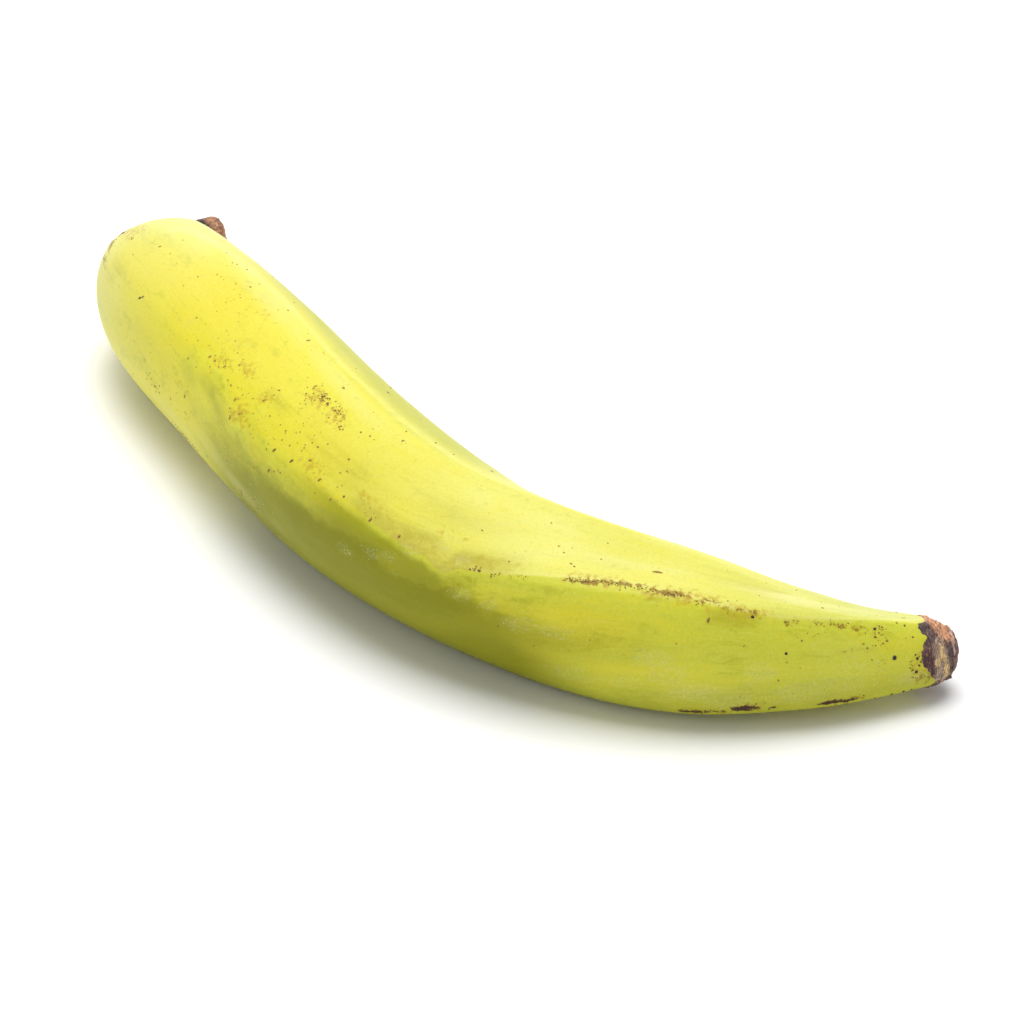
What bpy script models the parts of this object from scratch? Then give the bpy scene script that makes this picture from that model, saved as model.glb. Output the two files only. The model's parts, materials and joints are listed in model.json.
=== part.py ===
"""One plantain, lying on its side: its belly and its flower end touch the surface, and the
stem is just clear of it.

The fruit is a single loft. Rings are set along a bent middle line, from the dried flower end
to the cut stem, and each ring has five ridges, which are sharp near the flower end and soften
towards the stem. Metres, +Z up, origin at the bottom centre of the fruit's box, +X along its
length towards the flower end, and its hollow side towards +Y.
"""
import bmesh
import bpy
from math import atan2, cos, pi, radians, sin
from mathutils import Matrix, Vector

MM = 0.001
NAME = "plantain"

# Along the middle line, from the flower end to the cut stem.
LENGTH = 344 * MM
RING_STEP = 4.4 * MM
# Half width of the fruit: (distance from the flower end, half width), in mm.
HALF_WIDTHS = (
    (0, 7.2), (4, 8.6), (9, 9.5), (15, 10.4), (39, 14.5), (67, 18.8), (103, 21.3),
    (145, 23.7), (191, 25.0), (237, 24.8), (265, 24.4), (286, 23.3), (304, 20.7),
    (320, 13.4), (333, 7.9), (344, 7.3),
)
# How sharply the middle line bends: (distance in mm, degrees for each 10 mm).
BENDS = ((0, 5.7), (39, 5.4), (92, 4.9), (145, 3.7), (198, 1.6), (250, -1.1), (300, 8.4), (344, 18.0))
# How far the middle line rises out of its own plane: (distance in mm, mm).
SIDE_BOW = ((0, 0.0), (85, 0.6), (173, 0.8), (279, 0.4), (314, -1.0), (344, -3.3))

# Five ridges: the degrees from ridge one to the next, going down the bulging side, and so on round.
RIDGE_GAPS = (105, 60, 60, 65, 70)
# Where ridge one stands: (distance in mm, degrees up from the bulging side).
RIDGE_TURN = ((0, 75), (67, 50), (145, 15), (244, 32), (344, 37))
# Height of the ridges above the facets: (distance in mm, share of the half width).
RIDGE_RISE = ((0, 0.08), (36, 0.14), (90, 0.13), (140, 0.07), (190, 0.05), (344, 0.04))
# 1 gives a sharp ridge and 2 a wave, and the mean keeps the girth the same.
RIDGE_POWER = 1.25
RIDGE_MEAN = 0.42
# Faces from each ridge to the next.
SIDE_STEPS = 8

# How the fruit lies: roll and pitch of the middle line's plane, and the depth pressed flat.
ROLL = radians(7.75)
PITCH = radians(2.91)
PRESSED = 0.5 * MM
# The share of the middle line whose far end, with the flower end, sets the long axis.
CHORD_SHARE = 0.85

# Dried flower end: (mm past the first ring, share of the half width, depth of the lobes).
FLOWER_RINGS = (
    (0.7, 0.96, 0.01), (1.4, 0.87, 0.03), (2.0, 0.74, 0.05), (2.4, 0.57, 0.07),
    (2.3, 0.40, 0.08), (1.9, 0.25, 0.06), (1.6, 0.10, 0.0),
)
FLOWER_LOBES = 5
# Cut stem: (mm past the last ring, share of the half width), and the slope of the cut.
STEM_RINGS = ((0.9, 1.02), (1.3, 0.90), (0.7, 0.70), (0.1, 0.42), (-0.1, 0.18))
STEM_SLANT = 0.28

SKIN_COLOR = (0.63, 0.66, 0.12, 1.0)
SKIN_ROUGHNESS = 0.42


def smooth(stations, distance):
    """A smooth value between stations, with no overshoot past any of them."""
    places = [p for p, _ in stations]
    values = [v for _, v in stations]
    if distance <= places[0]:
        return values[0]
    if distance >= places[-1]:
        return values[-1]
    steps = [b - a for a, b in zip(places, places[1:])]
    slopes = [(b - a) / h for a, b, h in zip(values, values[1:], steps)]
    i = next(k for k, p in enumerate(places[1:]) if distance < p)

    def tangent(k):
        if k == 0:
            return slopes[0]
        if k == len(places) - 1:
            return slopes[-1]
        before, after = slopes[k - 1], slopes[k]
        if before * after <= 0:
            return 0.0
        return 2 * before * after / (before + after)

    t = (distance - places[i]) / steps[i]
    start = (1 + 2 * t) * (1 - t) ** 2
    end = t * t * (3 - 2 * t)
    lean_in = t * (1 - t) ** 2 * steps[i] * tangent(i)
    lean_out = t * t * (t - 1) * steps[i] * tangent(i + 1)
    return start * values[i] + end * values[i + 1] + lean_in + lean_out


def middle_line():
    """Distance, flat place and heading of each ring, with the long chord along the first axis."""
    count = round(LENGTH / RING_STEP)
    step = LENGTH / count
    heading = 0.0
    place = Vector((0.0, 0.0))
    line = [(0.0, place.copy(), heading)]
    for i in range(count):
        bend = radians(smooth(BENDS, (i + 0.5) * step / MM)) * step / (10 * MM)
        place = place + step * Vector((cos(heading - bend / 2), sin(heading - bend / 2)))
        heading -= bend
        line.append(((i + 1) * step, place.copy(), heading))
    far = line[round(CHORD_SHARE * count)][1]
    turn = atan2(far.y, far.x)
    back = Matrix.Rotation(-turn, 2)
    return [(distance, back @ flat, angle - turn) for distance, flat, angle in line]


def ridge_angles():
    """Angle below ridge one, and height above the facets, of the points of one ring."""
    points = []
    start = 0.0
    for gap in RIDGE_GAPS:
        for k in range(SIDE_STEPS):
            share = k / SIDE_STEPS
            height = 1 - sin(pi * share) ** RIDGE_POWER - RIDGE_MEAN
            points.append((radians(start + gap * share), height))
        start += gap
    return points


def axes():
    """The long axis, the outward axis on the bulging side, and the normal of their plane."""
    along = Vector((-cos(PITCH), 0.0, sin(PITCH)))
    level = Vector((0.0, -1.0, 0.0))
    normal = along.cross(level).normalized()
    out = cos(ROLL) * level + sin(ROLL) * normal
    return along, out, cos(ROLL) * normal - sin(ROLL) * level


def fruit_rings():
    """The rings of the fruit, each as its centre, its heading and the spokes to its points."""
    along, out, normal = axes()
    ring_points = ridge_angles()
    rings = []
    for distance, flat, angle in middle_line():
        at = distance / MM
        centre = flat.x * along + flat.y * out + smooth(SIDE_BOW, at) * MM * normal
        side = -sin(angle) * along + cos(angle) * out
        ahead = cos(angle) * along + sin(angle) * out
        half = smooth(HALF_WIDTHS, at) * MM
        rise = smooth(RIDGE_RISE, at)
        turn = radians(smooth(RIDGE_TURN, at))
        spokes = []
        for below, height in ring_points:
            spoke = cos(turn - below) * side + sin(turn - below) * normal
            spokes.append(half * (1 + rise * height) * spoke)
        rings.append((centre, ahead, spokes))
    return rings


def flower_end(first):
    """Rings of the dried flower end: a lobed crust with a pit, from the edge to the middle."""
    centre, ahead, spokes = first
    rings = []
    for rise, share, lobe in FLOWER_RINGS:
        count = len(spokes)
        waves = [1 + lobe * cos(2 * pi * FLOWER_LOBES * i / count) for i in range(count)]
        rings.append([centre - rise * MM * ahead + share * w * s for w, s in zip(waves, spokes)])
    return rings


def stem_end(last):
    """Rings of the cut stem: a rim and a shallow hollow, on a slanting cut."""
    centre, ahead, spokes = last
    rings = []
    for rise, share in STEM_RINGS:
        ring = []
        for spoke in spokes:
            slant = STEM_SLANT * share * spoke.z
            ring.append(centre + (rise * MM + slant) * ahead + share * spoke)
        rings.append(ring)
    return rings


def loft(bm, rings):
    """Join the rings with faces, and close both ends with a fan."""
    rows = [[bm.verts.new(point) for point in ring] for ring in rings]
    for near, far in zip(rows, rows[1:]):
        for i in range(len(near)):
            j = (i + 1) % len(near)
            bm.faces.new((near[i], near[j], far[j], far[i]))
    for row in (rows[0], rows[-1]):
        middle = sum((v.co for v in row), Vector()) / len(row)
        centre = bm.verts.new(middle)
        for i in range(len(row)):
            bm.faces.new((row[i], row[(i + 1) % len(row)], centre))


def lay_down(bm):
    """Rest the fruit on the surface, press its lowest spots flat and centre its box."""
    lowest = min(v.co.z for v in bm.verts)
    for vert in bm.verts:
        vert.co.z = max(0.0, vert.co.z - lowest - PRESSED)
    xs = [v.co.x for v in bm.verts]
    ys = [v.co.y for v in bm.verts]
    middle = Vector(((min(xs) + max(xs)) / 2, (min(ys) + max(ys)) / 2, 0.0))
    for vert in bm.verts:
        vert.co -= middle


def skin_material():
    material = bpy.data.materials.new("plantain_skin")
    material.use_nodes = True
    shader = material.node_tree.nodes["Principled BSDF"]
    shader.inputs["Base Color"].default_value = SKIN_COLOR
    shader.inputs["Roughness"].default_value = SKIN_ROUGHNESS
    shader.inputs["Metallic"].default_value = 0.0
    return material


def build_fruit(collection):
    rings = fruit_rings()
    body = []
    for centre, _, spokes in rings:
        body.append([centre + spoke for spoke in spokes])
    bm = bmesh.new()
    loft(bm, flower_end(rings[0])[::-1] + body + stem_end(rings[-1]))
    lay_down(bm)
    bmesh.ops.recalc_face_normals(bm, faces=bm.faces)
    mesh = bpy.data.meshes.new(NAME)
    bm.to_mesh(mesh)
    bm.free()
    mesh.shade_smooth()
    mesh.materials.append(skin_material())
    fruit = bpy.data.objects.new(NAME, mesh)
    collection.objects.link(fruit)
    return fruit


def main():
    for old in list(bpy.data.objects):
        bpy.data.objects.remove(old, do_unlink=True)
    collection = bpy.data.collections.new(NAME)
    bpy.context.scene.collection.children.link(collection)
    build_fruit(collection)


main()
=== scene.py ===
import json
from math import atan2, cos, pi, radians, sin

import bmesh
import bpy
import numpy as np
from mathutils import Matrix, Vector, noise

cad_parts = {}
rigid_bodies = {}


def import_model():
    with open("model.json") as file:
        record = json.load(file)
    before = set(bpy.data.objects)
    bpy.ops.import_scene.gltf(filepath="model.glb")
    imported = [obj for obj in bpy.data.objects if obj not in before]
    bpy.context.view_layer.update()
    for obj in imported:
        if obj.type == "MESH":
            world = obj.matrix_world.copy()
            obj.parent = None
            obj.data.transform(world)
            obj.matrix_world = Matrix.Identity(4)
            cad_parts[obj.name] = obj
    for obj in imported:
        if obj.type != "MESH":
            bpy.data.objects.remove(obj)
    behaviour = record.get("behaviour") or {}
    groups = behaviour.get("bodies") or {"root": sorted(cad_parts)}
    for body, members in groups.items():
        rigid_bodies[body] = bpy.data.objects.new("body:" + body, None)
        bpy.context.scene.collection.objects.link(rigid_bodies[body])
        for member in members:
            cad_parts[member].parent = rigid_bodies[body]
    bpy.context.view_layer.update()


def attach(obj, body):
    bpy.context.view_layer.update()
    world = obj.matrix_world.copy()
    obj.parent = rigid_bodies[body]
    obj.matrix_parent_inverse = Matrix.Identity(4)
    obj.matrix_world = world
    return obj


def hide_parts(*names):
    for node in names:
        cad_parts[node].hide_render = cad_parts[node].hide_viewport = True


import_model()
mm = 0.001
rad = pi / 180
print("frame loaded")


def mathNode(operation, swapped=False):
    # makes one operator of a Wire
    def build(wire, other):
        values = (other, wire) if swapped else (wire, other)
        return wire.graph.math(operation, *values)
    return build


class Wire:
    # one output of a node: sums on it add Math nodes, and the node's other outputs are reached by name
    def __init__(self, graph, socket):
        self.graph = graph
        self.socket = socket

    def __getitem__(self, name):
        return Wire(self.graph, self.socket.node.outputs[name])

    def __abs__(self):
        return self.graph.math("ABSOLUTE", self)

    __add__ = __radd__ = mathNode("ADD")
    __mul__ = __rmul__ = mathNode("MULTIPLY")
    __sub__ = mathNode("SUBTRACT")
    __rsub__ = mathNode("SUBTRACT", swapped=True)
    __truediv__ = mathNode("DIVIDE")
    __pow__ = mathNode("POWER")
    __gt__ = mathNode("GREATER_THAN")
    __lt__ = mathNode("LESS_THAN")


class Graph:
    # builds the nodes of one tree, of a material or of Geometry Nodes
    def __init__(self, tree):
        self.tree = tree

    def node(self, kind, settings=None, sockets=None, output=0):
        made = self.tree.nodes.new(kind)
        for name, value in (settings or {}).items():
            setattr(made, name, value)
        self.plug(made, sockets or {})
        return Wire(self, made.outputs[output]) if made.outputs else made

    def plug(self, node, sockets):
        # values or links for the sockets of a node
        for name, value in sockets.items():
            if isinstance(value, Wire):
                self.tree.links.new(value.socket, node.inputs[name])
            else:
                node.inputs[name].default_value = value

    def math(self, operation, *values):
        return self.node("ShaderNodeMath", {"operation": operation}, dict(enumerate(values)))

    def vector(self, operation, *values):
        return self.node("ShaderNodeVectorMath", {"operation": operation}, dict(enumerate(values)))

    def scaled(self, vector, factor):
        return self.node("ShaderNodeVectorMath", {"operation": "SCALE"}, {"Vector": vector, "Scale": factor})

    def xyz(self, x, y, z):
        return self.node("ShaderNodeCombineXYZ", {}, {"X": x, "Y": y, "Z": z})

    def split(self, vector):
        return self.node("ShaderNodeSeparateXYZ", {}, {"Vector": vector})

    def wound(self, along, degrees, radius):
        # a place on a straight tube, for patterns that run along the fruit
        angle = degrees * rad
        return self.xyz(along, self.math("COSINE", angle) * radius, self.math("SINE", angle) * radius)

    def mix(self, factor, first, second):
        colors = [(*color, 1) if isinstance(color, tuple) else color for color in (first, second)]
        settings = {"data_type": "RGBA", "clamp_factor": True}
        return self.node("ShaderNodeMix", settings, {0: factor, 6: colors[0], 7: colors[1]}, output=2)

    def ease(self, value, low, high, first=0, last=1):
        sockets = {"Value": value, "From Min": low, "From Max": high, "To Min": first, "To Max": last}
        return self.node("ShaderNodeMapRange", {"interpolation_type": "SMOOTHSTEP"}, sockets)

    def grain(self, vector, scale, detail=2, roughness=0.5, distortion=0):
        sockets = {"Vector": vector, "Scale": scale, "Detail": detail, "Roughness": roughness,
                   "Distortion": distortion}
        return self.node("ShaderNodeTexNoise", {}, sockets)

    def bump(self, strength, depth, height):
        sockets = {"Strength": strength, "Distance": depth * mm, "Height": height}
        return self.node("ShaderNodeBump", {}, sockets)

    def attribute(self, name):
        return self.node("ShaderNodeAttribute", {"attribute_name": name}, output="Fac")

    def onPiece(self):
        return self.node("ShaderNodeTexCoord", output="Object")

    def inputs(self, kinds):
        # named inputs of a tree of Geometry Nodes
        for name, kind in kinds.items():
            self.tree.interface.new_socket(name, in_out="INPUT", socket_type="NodeSocket" + kind)
        entry = self.tree.nodes.new("NodeGroupInput")
        return [Wire(self, entry.outputs[name]) for name in kinds]

    def named(self, name, kind="FLOAT"):
        return self.node("GeometryNodeInputNamedAttribute", {"data_type": kind}, {"Name": name})

    def placed(self, geometry, place):
        return self.node("GeometryNodeSetPosition", {}, {"Geometry": geometry, "Position": place})

    def finish(self, geometry, skin):
        real = self.node("GeometryNodeRealizeInstances", {}, {"Geometry": geometry})
        dressed = self.node("GeometryNodeSetMaterial", {}, {"Geometry": real, "Material": skin})
        self.tree.interface.new_socket("Geometry", in_out="OUTPUT", socket_type="NodeSocketGeometry")
        self.node("NodeGroupOutput", {}, {0: dressed})
        return self.tree


class Paint:
    # a colour laid down in layers, each a named colour of the look where its mask is 1
    def __init__(self, graph, look, ground):
        self.graph = graph
        self.look = look
        self.color = look[ground]

    def lay(self, name, mask):
        self.color = self.graph.mix(mask, self.color, self.look[name])


def newTree(name):
    return Graph(bpy.data.node_groups.new(name, "GeometryNodeTree"))


def newMaterial(name):
    material = bpy.data.materials.new(name)
    material.use_nodes = True
    return material, material.node_tree.nodes["Principled BSDF"], Graph(material.node_tree)


def addObject(name, data):
    made = bpy.data.objects.new(name, data)
    bpy.context.scene.collection.objects.link(made)
    return made


def growMesh(name, startMesh, tree, values):
    # runs a tree on a mesh, and keeps what it makes as a plain mesh
    holder = addObject(name + "Start", startMesh)
    modifier = holder.modifiers.new("grow", "NODES")
    modifier.node_group = tree
    for item in tree.interface.items_tree:
        if item.in_out == "INPUT" and item.name in values:
            modifier[item.identifier] = values[item.name]
    evaluated = bpy.context.evaluated_depsgraph_get()
    mesh = bpy.data.meshes.new_from_object(
        holder.evaluated_get(evaluated), preserve_all_data_layers=True, depsgraph=evaluated)
    mesh.name = name
    holder.modifiers.remove(modifier)
    bpy.data.objects.remove(holder)
    return mesh


def getPoints(mesh):
    points = np.empty(len(mesh.vertices) * 3, dtype=np.float32)
    mesh.vertices.foreach_get("co", points)
    return points.reshape(-1, 3).astype(float)


def settle(mesh, move=0):
    # moves a mesh, and keeps all of it above what the fruit lies on
    points = getPoints(mesh) + move
    points[:, 2] = np.maximum(points[:, 2], 0)
    mesh.vertices.foreach_set("co", points.astype(np.float32).ravel())
    mesh.update()


def addValues(mesh, name, values, kind="FLOAT"):
    layer = mesh.attributes.new(name, kind, "POINT")
    field = "vector" if kind == "FLOAT_VECTOR" else "value"
    layer.data.foreach_set(field, np.asarray(values, dtype=np.float32).ravel())


def readValues(mesh, name):
    values = np.empty(len(mesh.vertices), dtype=np.float32)
    mesh.attributes[name].data.foreach_get("value", values)
    return values.astype(float)


def closeMesh(mesh):
    # seams and poles are welded, and the faces point outwards
    bm = bmesh.new()
    bm.from_mesh(mesh)
    bmesh.ops.remove_doubles(bm, verts=bm.verts, dist=0.002 * mm)
    bmesh.ops.dissolve_degenerate(bm, edges=bm.edges, dist=0.0005 * mm)
    bmesh.ops.recalc_face_normals(bm, faces=bm.faces)
    bm.to_mesh(mesh)
    bm.free()
    mesh.shade_smooth()


def gridMesh(name, rows, material):
    # a closed surface from rows of points, each row a loop round the piece, with a pole at each end
    count = len(rows[0])
    points = np.concatenate([rows[0].mean(0)[None], *rows, rows[-1].mean(0)[None]])
    last = len(points) - 1
    faces = []
    for near in range(1, last - count, count):
        for i in range(count):
            j = (i + 1) % count
            faces.append((near + i, near + j, near + count + j, near + count + i))
    for i in range(count):
        j = (i + 1) % count
        faces.append((0, 1 + j, 1 + i))
        faces.append((last, last - count + i, last - count + j))
    mesh = bpy.data.meshes.new(name)
    mesh.from_pydata(points.tolist(), [], faces)
    mesh.materials.append(material)
    return mesh


# the fruit's form, in mm and degrees along a bent middle line from the flower end to the stem
fruit = {
    "length": 344.0,
    "rings": 430,
    "pointsRound": 220,
    "halfWidths": (
        (0, 7.2), (4, 8.6), (9, 9.5), (15, 10.4), (39, 14.5), (67, 18.8), (103, 21.3), (145, 23.7), (191, 25),
        (237, 24.8), (265, 24.4), (286, 23.3), (304, 20.7), (320, 13.4), (333, 7.9), (344, 7.3)),
    # degrees for each cm, away from the bulging side
    "bends": ((0, 5.7), (39, 5.4), (92, 4.9), (145, 3.7), (198, 1.6), (250, -1.1), (300, 8.4), (344, 18)),
    "sideBow": ((0, 0), (85, 0.6), (173, 0.8), (279, 0.4), (314, -1), (344, -3.3)),
    "ridgeGaps": (105.0, 60.0, 60.0, 65.0, 70.0),
    "ridgeTurn": ((0, 75), (67, 50), (145, 15), (244, 32), (344, 37)),    # ridge one over the bulging side
    # as a share of the half width
    "ridgeRise": ((0, 0.08), (36, 0.14), (90, 0.13), (140, 0.07), (190, 0.05), (344, 0.04)),
    "ridgePower": 1.25,     # 1 is sharp, 2 is round
    "ridgeMean": 0.42,      # taken off, so that the half width stays the mean
    "seam": -165.0,         # where the mesh is joined, in degrees below ridge one: underneath
    "roll": 7.75,
    "pitch": 2.91,
    "chordShare": 0.85,     # the chord to this share of the length sets the fruit's direction
    "pressed": 0.5,         # how far the belly is flattened
    "laidAt": (142.55, 16.89),    # from the middle line's start to the middle of the box
    "endsHidden": (5, 341),       # the peel stops here, inside the two end pieces
    "dentDepth": 0.9,
    "rippleDepth": 0.22,
    "puckerDepth": 0.7,
}


def smoothCurve(stations, places):
    # a smooth value between stations, with no overshoot past any of them
    x, y = np.array(stations, float).T
    steps = np.diff(x)
    slopes = np.diff(y) / steps
    before, after = slopes[:-1], slopes[1:]
    total = np.where(before + after == 0, 1, before + after)
    inner = np.where(before * after > 0, 2 * before * after / total, 0)
    tangents = np.concatenate([slopes[:1], inner, slopes[-1:]])
    i = np.clip(np.searchsorted(x, places, "right") - 1, 0, len(steps) - 1)
    t = np.clip((places - x[i]) / steps[i], 0, 1)
    value = (1 + 2 * t) * (1 - t) ** 2 * y[i] + t * t * (3 - 2 * t) * y[i + 1]
    lean = t * (1 - t) ** 2 * tangents[i] + t * t * (t - 1) * tangents[i + 1]
    return value + lean * steps[i]


class MiddleLine:
    # centres and directions along the fruit, in metres, before it is laid down
    def __init__(self, form):
        self.form = form
        fine = np.linspace(0, form["length"], 1201)
        step = fine[1]
        bend = np.radians(smoothCurve(form["bends"], (fine[1:] + fine[:-1]) / 2)) * step / 10
        heading = np.concatenate([[0], -np.cumsum(bend)])
        middle = (heading[1:] + heading[:-1]) / 2
        walked = np.cumsum(np.stack([np.cos(middle), np.sin(middle)], 1) * step, 0)
        flat = np.concatenate([[[0, 0]], walked])
        far = flat[round(form["chordShare"] * (len(fine) - 1))]
        turn = atan2(far[1], far[0])
        back = np.array([[cos(turn), sin(turn)], [-sin(turn), cos(turn)]])
        self.fine, self.heading, self.flat = fine, heading - turn, flat @ back.T
        roll, pitch = radians(form["roll"]), radians(form["pitch"])
        self.along = np.array([-cos(pitch), 0, sin(pitch)])
        level = np.array([0, -1, 0])
        upright = np.cross(self.along, level)
        self.out = cos(roll) * level + sin(roll) * upright
        self.normal = cos(roll) * upright - sin(roll) * level

    def at(self, places):
        # centre, direction towards the stem and direction of the bulging side
        heading, flatX, flatY = (
            np.interp(places, self.fine, values)[:, None] for values in (self.heading, *self.flat.T))
        bow = smoothCurve(self.form["sideBow"], places)[:, None]
        centre = (flatX * self.along + flatY * self.out + bow * self.normal) * mm
        ahead = np.cos(heading) * self.along + np.sin(heading) * self.out
        side = np.cos(heading) * self.out - np.sin(heading) * self.along
        return centre, ahead, side


line = MiddleLine(fruit)


def spineMesh():
    # one point for each ring, which carries what the tree needs to draw the ring
    first, last = fruit["endsHidden"]
    places = np.concatenate([[first], np.linspace(first, last, fruit["rings"] - 2), [last]])
    centre, _, side = line.at(places)
    half = smoothCurve(fruit["halfWidths"], places) * mm
    half[[0, -1]] = 0
    mesh = bpy.data.meshes.new("spine")
    mesh.from_pydata(centre.tolist(), [], [])
    addValues(mesh, "side", side, "FLOAT_VECTOR")
    addValues(mesh, "half", half)
    addValues(mesh, "place", places)
    addValues(mesh, "rise", smoothCurve(fruit["ridgeRise"], places))
    addValues(mesh, "turn", smoothCurve(fruit["ridgeTurn"], places))
    return mesh


def fruitTree():
    # rings along the spine, each with five ridges, and low relief over them
    graph = newTree("ridgedFruit")
    inputs = graph.inputs({
        "Spine": "Geometry", "Rings": "Int", "Points round": "Int", "Length": "Float", "Seam": "Float",
        "Plane normal": "Vector", "Ridge power": "Float", "Ridge mean": "Float", "Dent depth": "Float",
        "Ripple depth": "Float", "Pucker depth": "Float", "Skin": "Material",
        **{f"Ridge gap {k + 1}": "Float" for k in range(len(fruit["ridgeGaps"]))}})
    spine, rings, pointsRound, length, seam, normal, power, mean = inputs[:8]
    dents, ripples, puckers, skin, *gaps = inputs[8:]
    grid = graph.node("GeometryNodeMeshGrid", {}, {
        "Size X": 1, "Size Y": 1, "Vertices X": rings, "Vertices Y": pointsRound + 1})
    position = graph.node("GeometryNodeInputPosition")
    cell = graph.split(position)
    row = graph.math("ROUND", (cell["X"] + 0.5) * (rings - 1))
    below = (cell["Y"] + 0.5) * 360 + seam

    def atRow(value, kind="FLOAT"):
        return graph.node("GeometryNodeSampleIndex", {"data_type": kind}, {
            "Geometry": spine, "Value": value, "Index": row})

    centre = atRow(position, "FLOAT_VECTOR")
    side = atRow(graph.named("side", "FLOAT_VECTOR"), "FLOAT_VECTOR")
    place, half, rise, turn = (atRow(graph.named(name)) for name in ("place", "half", "rise", "turn"))
    wrapped = graph.math("FLOORED_MODULO", below + 360, 360)
    start, share = 0, 0
    for gap in gaps:
        offset = wrapped - start
        inside = (offset > -0.0001) * (offset < gap)
        share = inside * (offset / gap) + share
        start = gap + start
    height = 1 - graph.math("SINE", share * pi) ** power - mean

    unrolled = graph.wound(place * mm, below, half)
    lumps = graph.grain(graph.vector("MULTIPLY", unrolled, (1, 1.3, 1.3)), 28, 1)
    streaks = graph.grain(graph.vector("MULTIPLY", unrolled, (0.12, 1, 1)), 260, 2)
    folds = graph.grain(graph.vector("MULTIPLY", unrolled, (0.10, 1, 1)), 420, 1)
    nearEnds = graph.ease(place, 26, 4) + graph.ease(place, length - 34, length - 8)
    relief = (lumps - 0.5) * dents + (streaks - 0.5) * ripples + (folds - 0.5) * puckers * nearEnds
    radius = half * (1 + rise * height) + relief * mm * (half > 0.0001)

    angle = (turn - below) * rad
    spoke = graph.vector(
        "ADD",
        graph.scaled(side, graph.math("COSINE", angle)),
        graph.scaled(normal, graph.math("SINE", angle)))
    shown = grid
    for name, kind, domain, value in (
            ("along", "FLOAT", "POINT", place),
            ("below", "FLOAT", "POINT", below),
            ("half", "FLOAT", "POINT", half / mm),
            ("peel", "FLOAT2", "CORNER", graph.xyz(place / length, cell["Y"] + 0.5, 0))):
        shown = graph.node("GeometryNodeStoreNamedAttribute", {"data_type": kind, "domain": domain}, {
            "Geometry": shown, "Name": name, "Value": value})
    return graph.finish(graph.placed(shown, graph.vector("ADD", centre, graph.scaled(spoke, radius))), skin)


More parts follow.
